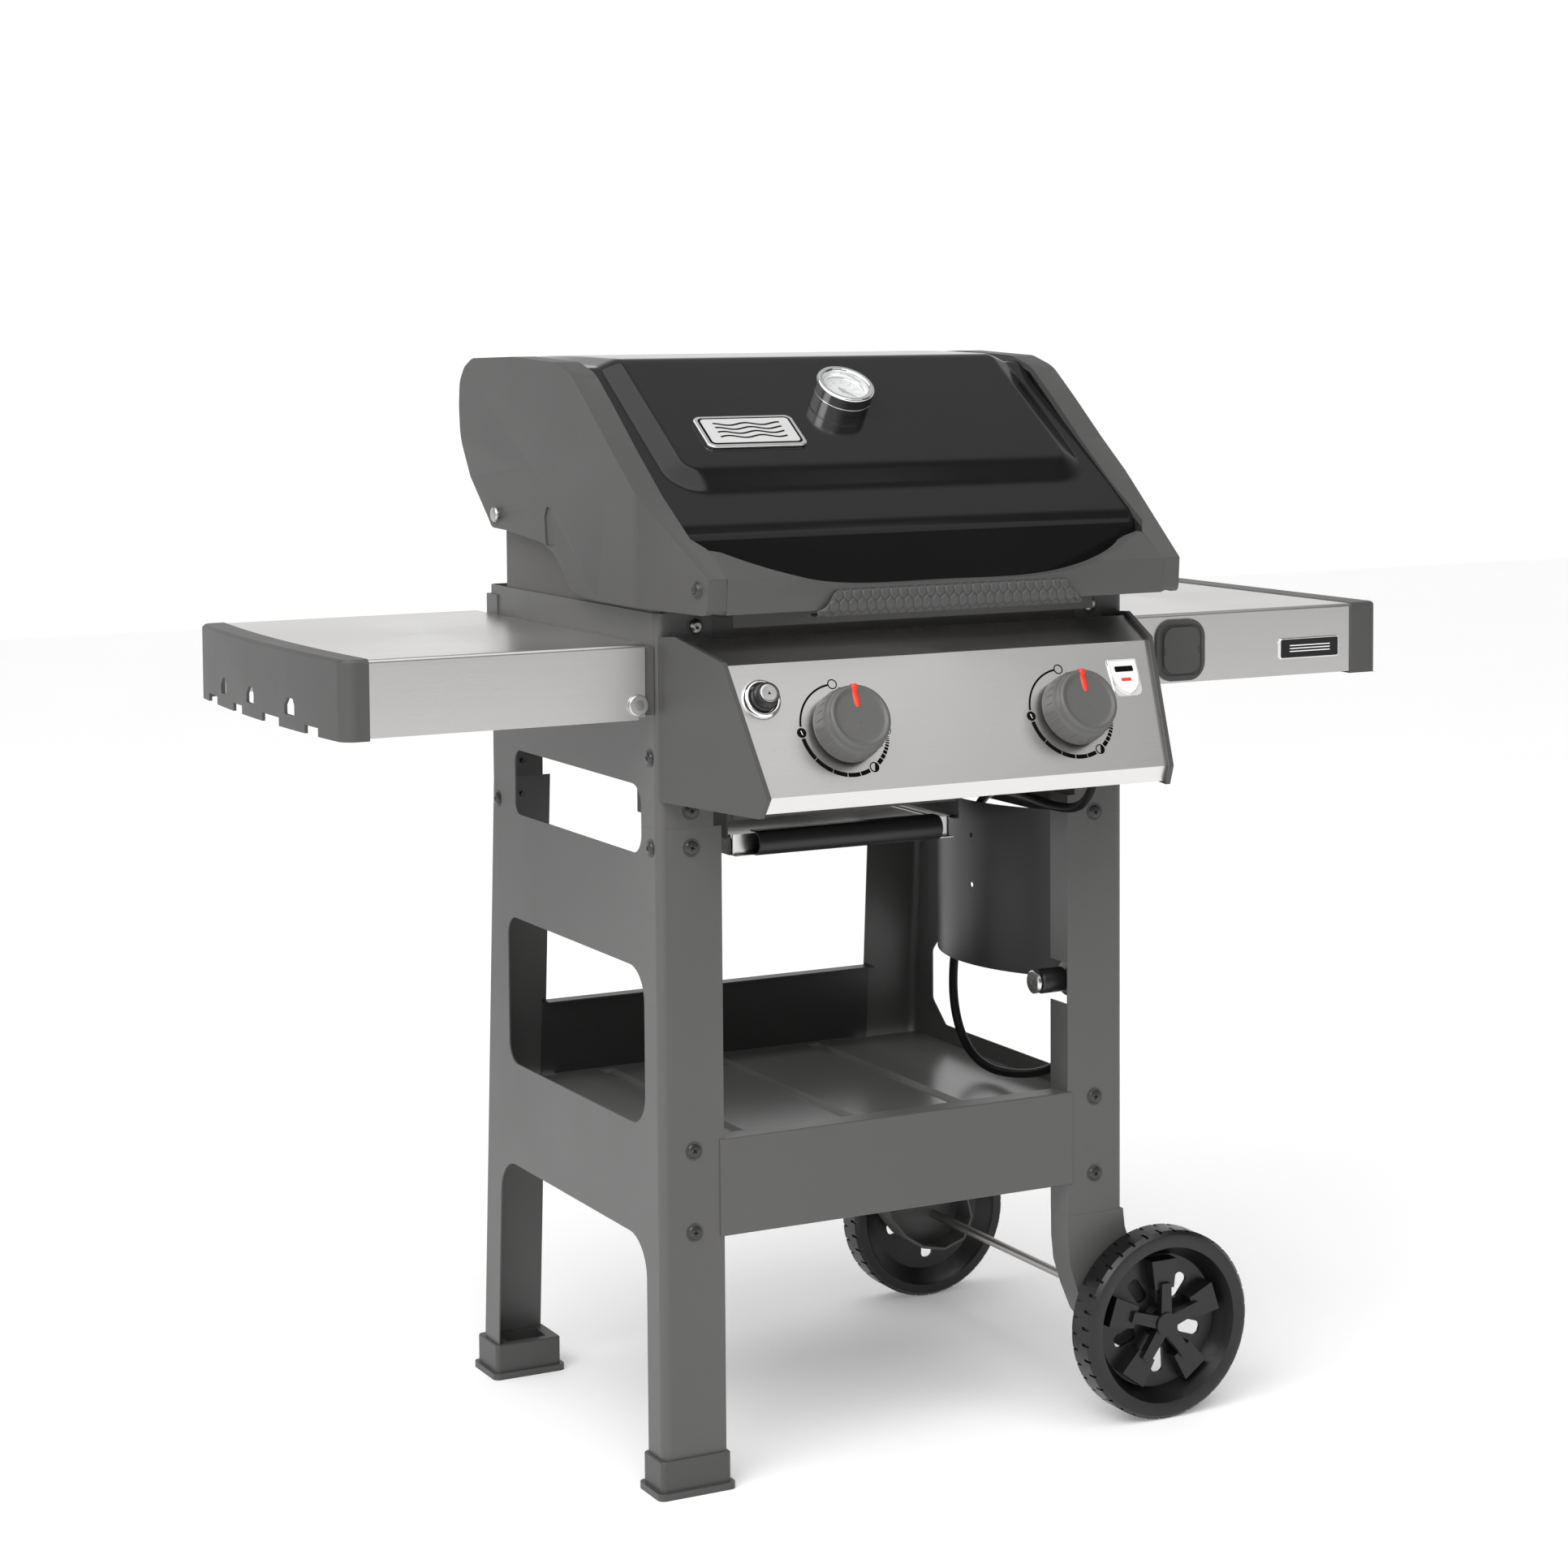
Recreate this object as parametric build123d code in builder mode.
from build123d import *
import math
import os

os.makedirs("parts", exist_ok=True)

# ------------------------------------------------------------------ driving dimensions (mm)
YC = 166.51           # depth of the overall box centre behind the front leg face
T = 1.6               # pressed steel sheet
HW = 273.8            # half width over the side frames
LEG_W = 70.0          # width of a leg flange
JOINT_Z = 675.0       # seam between lower and upper side frames
FRAME_TOP = 890.0
DEPTH = 427.0         # front leg face to rear leg face at the seam
REAR_FOOT = 475.0     # rear leg face at its foot
FOOT_Z = 8.0          # underside of the leg in its plastic foot
LEG_CUT = 224.0       # lower end of the wheel-side legs
STRIP = 36.0          # depth of the side strip of a leg
WHEEL_D = 204.0
AX_X, AX_Z = 305.0, 102.0
TABLE_TOP = 860.7
TABLE_SKIRT = 75.0
TABLE_OUT = 572.0
CAP_OUT = 609.5
PIV_X, PIV_Z = -293.0, 800.4      # folding table pivot
HY, HZ = 367.0, 970.0             # lid hinge
KNOB_X = 130.2
RING = (-121.8, 780.0)            # knob centre on the panel face (y, z)
NY, NZ = -0.8976, 0.4408          # outward normal of the panel face
IGN = (-212.5, -106.0, 812.3)
HOSE_D = 10.0


def yr(z):
    return DEPTH + max(0.0, JOINT_Z - z) * (REAR_FOOT - DEPTH) / (JOINT_Z - FOOT_Z)


def save(part, name):
    moved = Location((0, -YC, 0)) * part
    moved.label = name
    export_step(moved, "parts/" + name + ".step")


def prism_x(pts, x0, x1, r=0.0):
    with BuildPart() as p:
        with BuildSketch(Plane.YZ.offset(x0)) as s:
            with BuildLine():
                Polyline(*pts, close=True)
            make_face()
            if r:
                fillet(s.vertices(), radius=r)
        extrude(amount=x1 - x0)
    return p.part


def prism_x_radii(corners, x0, x1):
    # corners: (y, z, radius of that corner)
    with BuildPart() as p:
        with BuildSketch(Plane(origin=(x0, 0, 0), x_dir=(0, 1, 0), z_dir=(1, 0, 0))) as sk:
            with BuildLine():
                Polyline(*[(a, b) for a, b, _ in corners], close=True)
            make_face()
            for a, b, rad in corners:
                if rad > 0:
                    v = [w for w in sk.vertices() if math.hypot(w.Y - a, w.Z - b) < 0.01]
                    if not v:
                        v = [w for w in sk.vertices() if math.hypot(w.X - a, w.Y - b) < 0.01]
                    fillet(v, radius=rad)
        extrude(amount=x1 - x0)
    return p.part


def prism_y(pts, y0, y1, r=0.0):
    with BuildPart() as p:
        with BuildSketch(Plane.XZ.offset(-y0)) as s:
            with BuildLine():
                Polyline(*pts, close=True)
            make_face()
            if r:
                fillet(s.vertices(), radius=r)
        extrude(amount=-(y1 - y0))
    return p.part


def prism_z(pts, z0, z1, r=0.0):
    with BuildPart() as p:
        with BuildSketch(Plane.XY.offset(z0)) as s:
            with BuildLine():
                Polyline(*pts, close=True)
            make_face()
            if r:
                fillet(s.vertices(), radius=r)
        extrude(amount=z1 - z0)
    return p.part


def box(x0, x1, y0, y1, z0, z1):
    return prism_z([(x0, y0), (x1, y0), (x1, y1), (x0, y1)], z0, z1)


def rod(p0, p1, r):
    d = Vector(*p1) - Vector(*p0)
    with BuildPart() as p:
        with BuildSketch(Plane(origin=p0, z_dir=d)):
            Circle(r)
        extrude(amount=d.length)
    return p.part


def turned(pts, origin, z_dir, x_dir=(1, 0, 0)):
    # revolved profile: points are (radius, height along z_dir)
    pl = Plane(origin=origin, x_dir=x_dir, z_dir=z_dir)
    with BuildPart() as p:
        with BuildSketch(Plane(origin=origin, x_dir=pl.x_dir, z_dir=-pl.y_dir)):
            with BuildLine():
                Polyline(*pts, close=True)
            make_face()
        revolve(axis=Axis(origin, z_dir))
    return p.part


def mirror_x(part):
    return part.mirror(Plane.YZ)


N = (0.0, NY, NZ)


def on_panel(x, h=0.0, y=RING[0], z=RING[1]):
    return (x, y + NY * h, z + NZ * h)


# ------------------------------------------------------------------ screws (positions, outward normal)
leg_x = -HW + 0.52 * LEG_W
SCREWS = []
for sx in (-1, 1):
    x = sx * abs(leg_x)
    for z in (692.0, 655.0, 349.5, 266.5):
        SCREWS.append(((x, 0.0, z), (0, -1, 0)))
    for z in (692.0, 655.0):
        SCREWS.append(((x, DEPTH + (0 if z > JOINT_Z else yr(z) + 0.5 - DEPTH), z), (0, 1, 0)))
    SCREWS.append(((sx * HW, 18.0, 655.0), (sx, 0, 0)))
    SCREWS.append(((sx * HW, 409.0, 655.0), (sx, 0, 0)))
    SCREWS.append(((sx * HW, 18.0, 745.0), (sx, 0, 0)))
    SCREWS.append(((sx * 230.7, 0.0, 876.0), (0, -1, 0)))


def shank(p, n, r, inset, out=0.0):
    a = (p[0] + n[0] * out, p[1] + n[1] * out, p[2] + n[2] * out)
    b = (p[0] - n[0] * inset, p[1] - n[1] * inset, p[2] - n[2] * inset)
    return rod(a, b, r)


with BuildPart() as screw_holes:
    for (p, n) in SCREWS:
        add(shank(p, n, 2.6, 6.5, 1.0))

with BuildPart() as frame_screws:
    for (p, n) in SCREWS:
        add(turned([(0, 0), (7.2, 0), (7.2, 0.8), (6.2, 2.2), (3.6, 3.0), (0, 3.1)], p, n,
                   (0, 0, 1) if abs(n[2]) < 0.5 else (1, 0, 0)))
        add(shank(p, n, 2.5, 5.4))

# ------------------------------------------------------------------ lower side frames


def channel(side_in, z0, z1, rear_at):
    # open channel: side web with a front and a rear flange
    with BuildPart() as c:
        add(prism_x([(0, z0), (0, z1), (rear_at(z1), z1), (rear_at(z0), z0)], -HW, side_in))
        lo = [e for e in c.edges().group_by(Axis.X)[0] if abs(e.tangent_at(0.5).Z) > 0.9]
        fillet(lo, radius=9.0)
    with BuildPart() as v:
        add(prism_x([(T, z0 - 1), (T, z1 + 1), (rear_at(z1 + 1) - T, z1 + 1),
                     (rear_at(z0 - 1) - T, z0 - 1)], -HW + T, side_in + 1))
        lo = [e for e in v.edges().group_by(Axis.X)[0] if abs(e.tangent_at(0.5).Z) > 0.9]
        fillet(lo, radius=9.0 - T)
    with BuildPart() as r:
        add(c.part)
        add(v.part, mode=Mode.SUBTRACT)
    return r.part


lower = channel(-HW + LEG_W, FOOT_Z, JOINT_Z, yr)
arch = [(STRIP, -20, 0), (STRIP, 255, 40), (yr(255) - 46, 255, 42), (yr(-20) - 46, -20, 0)]
win2 = [(STRIP, 368.5, 33), (yr(400) - 62, 368.5, 22), (yr(400) - 62, 530, 22), (STRIP, 530, 34)]
win1 = [(STRIP + 3, 645, 21), (360, 645, 14), (360, 715, 14), (STRIP + 3, 715, 21)]

with BuildPart() as left_lower_frame:
    add(lower)
    add(prism_x_radii(arch, -HW - 1, -HW + 8), mode=Mode.SUBTRACT)
    add(prism_x_radii(win2, -HW - 1, -HW + 8), mode=Mode.SUBTRACT)
    add(prism_x_radii(win1, -HW - 1, -HW + 8), mode=Mode.SUBTRACT)
    add(screw_holes.part, mode=Mode.SUBTRACT)

lower_r = mirror_x(channel(-HW + LEG_W, LEG_CUT, JOINT_Z, yr))
arch_r = [(STRIP, 100), (STRIP, 236), (55, 255), (392, 255), (yr(236) - 42, 236), (yr(100) - 42, 100)]
tank_gap = [(48, 372), (66, 352), (372, 352), (402, 378), (402, 436), (388, 450), (352, 450),
            (346, 470), (346, 612), (326, 632), (66, 632), (48, 612)]
with BuildPart() as right_lower_frame:
    add(lower_r)
    for z0, z1 in ((LEG_CUT, 300), (340, 452), (496, JOINT_Z)):
        add(box(HW - LEG_W, HW - LEG_W + T, 0.4, 34, z0, z1))
    add(prism_x(arch_r, HW - 8, HW + 1, r=10.0), mode=Mode.SUBTRACT)
    add(prism_x(tank_gap, HW - 8, HW + 1, r=8.0), mode=Mode.SUBTRACT)
    for z in (477.0, 557.0):
        add(rod((HW - 8, 378, z), (HW + 2, 378, z), 5.5), mode=Mode.SUBTRACT)
        add(rod((HW - 8, 378, z + 7), (HW + 2, 378, z + 7), 3.2), mode=Mode.SUBTRACT)
    add(screw_holes.part, mode=Mode.SUBTRACT)

# ------------------------------------------------------------------ upper side frames
UP_IN = 212.7
upper = channel(-UP_IN, JOINT_Z, FRAME_TOP, lambda z: DEPTH)
with BuildPart() as left_upper_frame:
    add(upper)
    add(box(-HW + 12, -UP_IN - 1, T, 2 * T, 642, 700))
    add(prism_x_radii(win1, -HW - 1, -HW + 8), mode=Mode.SUBTRACT)
    add(screw_holes.part, mode=Mode.SUBTRACT)
with BuildPart() as right_upper_frame:
    add(mirror_x(upper))
    add(box(UP_IN + 1, HW - 12, T, 2 * T, 642, 700))
    add(screw_holes.part, mode=Mode.SUBTRACT)

# ------------------------------------------------------------------ beams and shelf
IN_X = HW - LEG_W     # 203.8
with BuildPart() as front_beam:
    add(box(-IN_X - 5, IN_X + 5, -T, 0, 258.5, 358))
    add(box(-IN_X + 0.4, IN_X - 0.4, -T, 22, 358 - T, 358))
    add(box(-IN_X + 0.4, IN_X - 0.4, -T, 22, 258.5, 258.5 + T))
    fe = [e for e in front_beam.edges() if abs(e.tangent_at(0.5).X) > 0.9
          and abs(e.center().Y + T) < 0.01]
    fillet(fe, radius=1.4)
with BuildPart() as rear_beam:
    add(prism_x([(yr(318) - 2 * T, 318), (yr(418) - 2 * T, 418), (yr(418) - T, 418), (yr(318) - T, 318)],
                -IN_X - 5, IN_X + 5))
    add(prism_x([(yr(418) - 2 * T - 16, 418 - T), (yr(418) - T, 418 - T), (yr(418) - T, 418),
                 (yr(418) - 2 * T - 16, 418)], -IN_X - 5, IN_X + 5))

SH_T = 1.4
top = []
for g in (-133.0, 0.0, 133.0):
    top += [(g - 9, 332), (g - 5, 327), (g + 5, 327), (g + 9, 332)]
xe = HW - T
pts = [(-xe, 332)] + top + [(xe, 332), (xe, 306), (xe - SH_T, 306), (xe - SH_T, 332 - SH_T)]
low = []
for g in (133.0, 0.0, -133.0):
    low += [(g + 8.2, 332 - SH_T), (g + 4.2, 327 - SH_T), (g - 4.2, 327 - SH_T), (g - 8.2, 332 - SH_T)]
pts += low + [(-xe + SH_T, 332 - SH_T), (-xe + SH_T, 306), (-xe, 306)]
with BuildPart() as bottom_shelf:
    add(prism_y(pts, T + 8.2, yr(332) - 2 * T - 9.0))
    add(box(-IN_X + 12, IN_X - 12, T, T + 8.6, 330.6, 332))
    add(box(-IN_X + 12, IN_X - 12, yr(332) - 2 * T - 10.0, yr(332) - 2 * T - 0.1, 330.6, 332))
    add(box(-IN_X + 12, IN_X - 12, T, T + SH_T, 300, 332))

# ------------------------------------------------------------------ plastic feet
fx0, fx1 = -HW - 4, -HW + LEG_W + 4
with BuildPart() as front_foot:
    add(box(fx0, fx1, -4, STRIP + 5, 0, 38))
    ve = front_foot.edges().filter_by(Axis.Z)
    fillet(ve, radius=5)
    add(prism_z([(fx0 - 4, -8), (fx1 + 4, -8), (fx1 + 4, STRIP + 9), (fx0 - 4, STRIP + 9)], 0, 7, r=7))
    chamfer(front_foot.edges().group_by(Axis.Z)[-1], length=1.2)
    add(box(-HW + 14, -HW + LEG_W - 10, 12, STRIP - 5, 14, 40), mode=Mode.SUBTRACT)
    add(left_lower_frame.part, mode=Mode.SUBTRACT)
ry = yr(FOOT_Z)
with BuildPart() as rear_foot:
    add(box(fx0, fx1, ry - 52, ry + 4, 0, 38))
    ve = rear_foot.edges().filter_by(Axis.Z)
    fillet(ve, radius=5)
    add(prism_z([(fx0 - 4, ry - 56), (fx1 + 4, ry - 56), (fx1 + 4, ry + 8), (fx0 - 4, ry + 8)], 0, 7, r=7))
    chamfer(rear_foot.edges().group_by(Axis.Z)[-1], length=1.2)
    add(box(-HW + 14, -HW + LEG_W - 10, ry - 42, ry - 14, 14, 40), mode=Mode.SUBTRACT)
    add(left_lower_frame.part, mode=Mode.SUBTRACT)

# ------------------------------------------------------------------ wheel brackets
BT = 2.5
xl, xr = IN_X, HW
arm = [(xl, LEG_CUT), (xl + 0.3, 196), (xl + 3, 170), (xl + 12, 142), (228, 113), (248, 88), (272, 72),
       (302, 66), (330, 76), (341, 102), (334, 128), (312, 148), (294, 165), (283, 184), (276, 204),
       (xr, LEG_CUT)]
arm_in = [(xl + BT, LEG_CUT + 1), (xl + 3, 197), (xl + 5.6, 171), (xl + 14.4, 143.6), (230.3, 114.6),
          (249.6, 90.6), (273, 75.2), (302, 69.2), (328.2, 78.2), (338, 102), (331.8, 126.4), (310.4, 146.2),
          (291.8, 163.6), (280.4, 183), (273.4, 203.4), (xr - BT, LEG_CUT + 1)]


def bracket(front):
    if front:
        body_yz = [(0, 40), (0, LEG_CUT), (34, LEG_CUT), (34, 40)]
        void_yz = [(BT, 40), (BT, LEG_CUT + 1), (36, LEG_CUT + 1), (36, 40)]
        neck = box(xl + T + 0.2, xr - 9.2, T, T + BT, LEG_CUT - 14, 300)
        step = None
    else:
        y1 = yr(LEG_CUT)
        body_yz = [(y1 - 34, 40), (y1 - 34, LEG_CUT), (y1, LEG_CUT), (y1, 40)]
        void_yz = [(y1 - 36, 40), (y1 - 36, LEG_CUT + 1), (y1 - BT, LEG_CUT + 1), (y1 - BT, 40)]
        neck = prism_x([(yr(LEG_CUT - 14) - T - BT - 1.0, LEG_CUT - 14), (yr(300) - T - BT, 300),
                        (yr(300) - T, 300), (yr(LEG_CUT) - T, LEG_CUT), (yr(LEG_CUT) - T, LEG_CUT - 14)],
                       xl + T + 0.2, xr - 9.2)
    with BuildPart() as b:
        add(prism_y(arm, body_yz[0][0] - 1, body_yz[2][0] + 1))
        add(prism_x(body_yz, 150, 400), mode=Mode.INTERSECT)
    with BuildPart() as v:
        add(prism_y(arm_in, body_yz[0][0] - 3, body_yz[2][0] + 3))
        add(prism_x(void_yz, 150, 400), mode=Mode.INTERSECT)
    with BuildPart() as k:
        add(b.part)
        add(v.part, mode=Mode.SUBTRACT)
        add(neck)
        add(screw_holes.part, mode=Mode.SUBTRACT)
        add(rod((AX_X, -10, AX_Z), (AX_X, 500, AX_Z), 5.0), mode=Mode.SUBTRACT)
    return k.part


front_wheel_bracket = bracket(True)
rear_wheel_bracket = bracket(False)

# ------------------------------------------------------------------ wheels
WF0, WF1 = -42.0, -4.0              # front wheel, outer and inner face
RB = yr(LEG_CUT)                    # rear face of rear bracket
WR0, WR1 = RB + 4.5, RB + 42.5      # rear wheel, inner and outer face
R = WHEEL_D / 2


def wheel(y_in, y_out):
    s = -1.0 if y_out < y_in else 1.0

    def h(a):
        return y_in + s * a
    # rim, dished web and hub turned about the axle; heights run from the inner to the outer face
    prof = [(5.1, 1.0), (15, 1.0), (15, 8.0), (70, 12.0), (84, 4.0), (88, 0.0), (R - 4, 0.0), (R, 5.0),
            (R, 33.0), (R - 4, 37.0), (R - 10, 38.0), (84, 36.5), (78, 24.0), (72, 14.0), (18, 14.0),
            (15, 21.5), (5.1, 21.5)]
    body = turned([(a, b) for a, b in prof], (AX_X, y_in, AX_Z), (0, s, 0), (1, 0, 0))
    with BuildPart() as w:
        add(body)
        # tread grooves across the running face
        with BuildPart(mode=Mode.PRIVATE) as g:
            with BuildSketch(Plane(origin=(AX_X, h(-1), AX_Z), x_dir=(1, 0, 0), z_dir=(0, s, 0))):
                with PolarLocations(R + 0.6, 36):
                    Rectangle(5.2, 3.2)
            extrude(amount=15)
            with BuildSketch(Plane(origin=(AX_X, h(24), AX_Z), x_dir=(1, 0, 0), z_dir=(0, s, 0))):
                with PolarLocations(R + 0.6, 36, start_angle=5):
                    Rectangle(5.2, 3.2)
            extrude(amount=15)
        add(g.part, mode=Mode.SUBTRACT)
        # five openings in the web
        with BuildPart(mode=Mode.PRIVATE) as o:
            with BuildSketch(Plane(origin=(AX_X, h(-1), AX_Z), x_dir=(1, 0, 0), z_dir=(0, s, 0))):
                with PolarLocations(43, 5, start_angle=54 if s < 0 else -54):
                    RectangleRounded(28, 15, 6)
            extrude(amount=20)
        add(o.part, mode=Mode.SUBTRACT)
    return w.part


front_wheel = wheel(WF1, WF0)
rear_wheel = wheel(WR0, WR1)

with BuildPart() as axle_rod:
    add(rod((AX_X, WF1 - 23.3, AX_Z), (AX_X, WR0 + 23.3, AX_Z), 5.0))
with BuildPart() as axle_clips:
    for a in (WF1 - 23.0, WR0 + 21.8):
        with BuildSketch(Plane(origin=(AX_X, a, AX_Z), x_dir=(1, 0, 0), z_dir=(0, 1, 0))):
            Circle(9)
            Circle(5.0, mode=Mode.SUBTRACT)
        extrude(amount=1.2)
with BuildPart() as axle_collars:
    for a, b in ((-3.4, 0.0), (RB, RB + 3.9)):
        with BuildSketch(Plane(origin=(AX_X, a, AX_Z), x_dir=(1, 0, 0), z_dir=(0, 1, 0))):
            Circle(11)
            Circle(5.0, mode=Mode.SUBTRACT)
        extrude(amount=b - a)

# ------------------------------------------------------------------ tank shield
SH_Z0, SH_Z1 = 466.0, 648.0
with BuildPart() as tank_shield:
    with BuildSketch(Plane.XY.offset(SH_Z0)) as s:
        with BuildLine():
            a0 = ThreePointArc((266, 42), (190, 194), (266, 346))
            a1 = Line((266, 346), (272.2, 348))
            a2 = Line((272.2, 348), (272.2, 362))
            a3 = Line((272.2, 362), (271.0, 362))
            a4 = Line((271.0, 362), (271.0, 349.2))
            a5 = Line((271.0, 349.2), (265.2, 347.3))
            a6 = ThreePointArc((265.2, 347.3), (188.6, 194), (265.2, 40.7))
            a7 = Line((265.2, 40.7), (271.0, 38.8))
            a8 = Line((271.0, 38.8), (271.0, 33))
            a9 = Line((271.0, 33), (272.2, 33))
            b0 = Line((272.2, 33), (272.2, 40))
            b1 = Line((272.2, 40), (266, 42))
        make_face()
    extrude(amount=SH_Z1 - SH_Z0)
    for z in (555.0, 610.0):
        add(rod((180, 176, z), (215, 168, z), 3.0), mode=Mode.SUBTRACT)

# ------------------------------------------------------------------ firebox
CB_X = HW - T - 0.4          # outer face just inside the frame web
CB_Y0, CB_Y1 = T + 0.2, 380.0
CW = 4.0


def rect_loft(z0, r0, z1, r1):
    # r = (x0, x1, y0, y1)
    with BuildPart() as p:
        for z, r in ((z0, r0), (z1, r1)):
            with BuildSketch(Plane.XY.offset(z)):
                with Locations(((r[0] + r[1]) / 2, (r[2] + r[3]) / 2)):
                    Rectangle(r[1] - r[0], r[3] - r[2])
        loft()
    return p.part


side_out = [(CB_Y0, 745), (CB_Y1, 745), (CB_Y1, 985), (350, 985), (343, 962), (250, 953), (218, 940),
            (176, 905), (150, 900), (CB_Y0, 900)]
BURN_Z = 768.0
with BuildPart() as cookbox:
    add(rect_loft(700, (-140, 140, 112, 338), 745, (-CB_X, CB_X, CB_Y0, CB_Y1)))
    add(box(-CB_X, CB_X, CB_Y0, CB_Y1, 745, 889))
    add(box(-CB_X, CB_X, CB_Y1 - CW, CB_Y1, 889, 930))
    add(prism_x(side_out, -CB_X, -CB_X + CW))
    add(prism_x(side_out, CB_X - CW, CB_X))
    add(rect_loft(699, (-136, 136, 116, 334), 745, (-CB_X + CW, CB_X - CW, CB_Y0 + CW, CB_Y1 - CW)),
        mode=Mode.SUBTRACT)
    add(box(-CB_X + CW, CB_X - CW, CB_Y0 + CW, CB_Y1 - CW, 744.9, 890), mode=Mode.SUBTRACT)
    # front rim, ledges for grates and heat bars, rack rests
    add(box(-209, 209, -40, CB_Y0 + 1, 885, 889))
    add(box(-209, 209, -40, -36, 876, 889))
    for z in (866.0, 816.0):
        add(box(-CB_X + CW - 1, CB_X - CW + 1, CB_Y0 + CW - 1, CB_Y0 + CW + 12, z, z + 4))
        add(box(-CB_X + CW - 1, CB_X - CW + 1, CB_Y1 - CW - 12, CB_Y1 - CW + 1, z, z + 4))
    for sx in (-1, 1):
        x0, x1 = sorted((sx * (CB_X - CW + 1), sx * (CB_X - CW - 11)))
        add(box(x0, x1, 256, 348, 944, 948))
        add(rod((sx * 130, CB_Y0 - 1, BURN_Z), (sx * 130, CB_Y0 + CW + 1, BURN_Z), 12.0), mode=Mode.SUBTRACT)
        add(rod((sx * 250, HY, HZ), (sx * 280, HY, HZ), 5.0), mode=Mode.SUBTRACT)
    # vent slots in the rear wall
    for k in range(9):
        add(box(-206 + k * 48, -178 + k * 48, CB_Y1 - CW - 1, CB_Y1 + 1, 900, 912), mode=Mode.SUBTRACT)
    # comb of fins at the grease opening
    for k in range(27):
        add(box(-131 + k * 10, -129 + k * 10, 112.5, 124, 664, 701))
    add(box(-134, 134, 112.5, 115, 660, 666))
    add(box(-CB_X - 1, CB_X + 1, -60, 400, 640, 1000), mode=Mode.INTERSECT)
    for sx in (-1, 1):
        # rounded front corners clear the bends of the side frames
        x0, x1 = sx * (CB_X + 1), sx * (CB_X - 10)
        with BuildPart(mode=Mode.PRIVATE) as corner:
            with BuildSketch(Plane.XY.offset(650)):
                with BuildLine():
                    Polyline((sx * (CB_X - 9), CB_Y0 - 1), (sx * (CB_X - 9), CB_Y0))
                    ThreePointArc((sx * (CB_X - 9), CB_Y0), (sx * (CB_X - 2.636), CB_Y0 + 2.636), (sx * CB_X, CB_Y0 + 9))
                    Polyline((sx * CB_X, CB_Y0 + 9), (sx * (CB_X + 1), CB_Y0 + 9), (sx * (CB_X + 1), CB_Y0 - 1),
                             (sx * (CB_X - 9), CB_Y0 - 1))
                make_face()
            extrude(amount=300)
        add(corner.part, mode=Mode.SUBTRACT)
    add(screw_holes.part, mode=Mode.SUBTRACT)

burners = []
for sx in (-1, 1):
    with BuildPart() as b:
        with BuildSketch(Plane.XZ.offset(48)):
            with Locations((sx * 130, BURN_Z)):
                Circle(11)
                Circle(9.8, mode=Mode.SUBTRACT)
        extrude(amount=-(CB_Y1 - CW + 48))
        for k in range(17):
            add(box(sx * 130 - 12, sx * 130 + 12, 40 + k * 19, 46 + k * 19, BURN_Z - 1, BURN_Z + 1),
                mode=Mode.SUBTRACT)
        add(box(sx * 130 - 6, sx * 130 + 6, -40, -18, BURN_Z - 13, BURN_Z - 6), mode=Mode.SUBTRACT)
    burners.append(b.part)

with BuildPart() as heat_bars:
    for cx in (-178.0, -59.3, 59.3, 178.0):
        w, hgt, t = 38.0, 30.0, 1.2
        prof = [(cx - w, 820), (cx, 820 + hgt), (cx + w, 820), (cx + w - 1.9, 820), (cx, 820 + hgt - 1.5),
                (cx - w + 1.9, 820)]
        add(prism_y(prof, CB_Y0 + CW + 0.5, CB_Y1 - CW - 0.5))

grates = []
with BuildPart() as cooking_grates:
    for (x0, x1) in ((-264.0, -1.5), (1.5, 264.0)):
        y0, y1 = CB_Y0 + CW + 1.5, CB_Y1 - CW - 1.5
        add(box(x0, x1, y0, y0 + 9, 870, 880))
        add(box(x0, x1, y1 - 9, y1, 870, 880))
        n = 15
        for k in range(n):
            cx = x0 + 4 + (x1 - x0 - 8) * k / (n - 1)
            add(box(cx - 4, cx + 4, y0, y1, 872, 883))
        add(box(x0, x1, 186, 192, 870, 878))

with BuildPart() as warming_rack:
    for y in (262.0, 340.0):
        add(rod((-262, y, 950.2), (262, y, 950.2), 2.2))
    for k in range(5):
        y = 276 + k * 13
        add(rod((-256, y, 953.4), (256, y, 953.4), 1.6))
    for x in (-250.0, -90.0, 90.0, 250.0):
        add(rod((x, 261, 951.0), (x, 341, 951.0), 1.8))

# ------------------------------------------------------------------ grease tray (slides out) and rails
with BuildPart() as tray_rails:
    for sx in (-1, 1):
        a, b = sorted((sx * 138.5, sx * 140.0))
        add(box(a, b, 116, 334, 640, 708))
        a, b = sorted((sx * 134.2, sx * 140.0))
        add(box(a, b, 116, 334, 640, 641.5))
    add(cookbox.part, mode=Mode.SUBTRACT)
TR_Y0, TR_Y1 = 121.0, 322.0
with BuildPart() as grease_tray:
    add(box(-133, 133, TR_Y0, TR_Y1, 621, 643))
    fillet(grease_tray.edges().filter_by(Axis.Z), radius=6)
    add(box(-131.8, 131.8, TR_Y0 + 1.2, TR_Y1 - 1.2, 622.2, 644), mode=Mode.SUBTRACT)
    add(box(-137.8, -132.2, TR_Y0 + 6, TR_Y1 - 6, 641.8, 643))
    add(box(132.2, 137.8, TR_Y0 + 6, TR_Y1 - 6, 641.8, 643))
    add(box(-131, 131, TR_Y0 - 9, TR_Y0 + 0.6, 621, 622.2))
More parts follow.
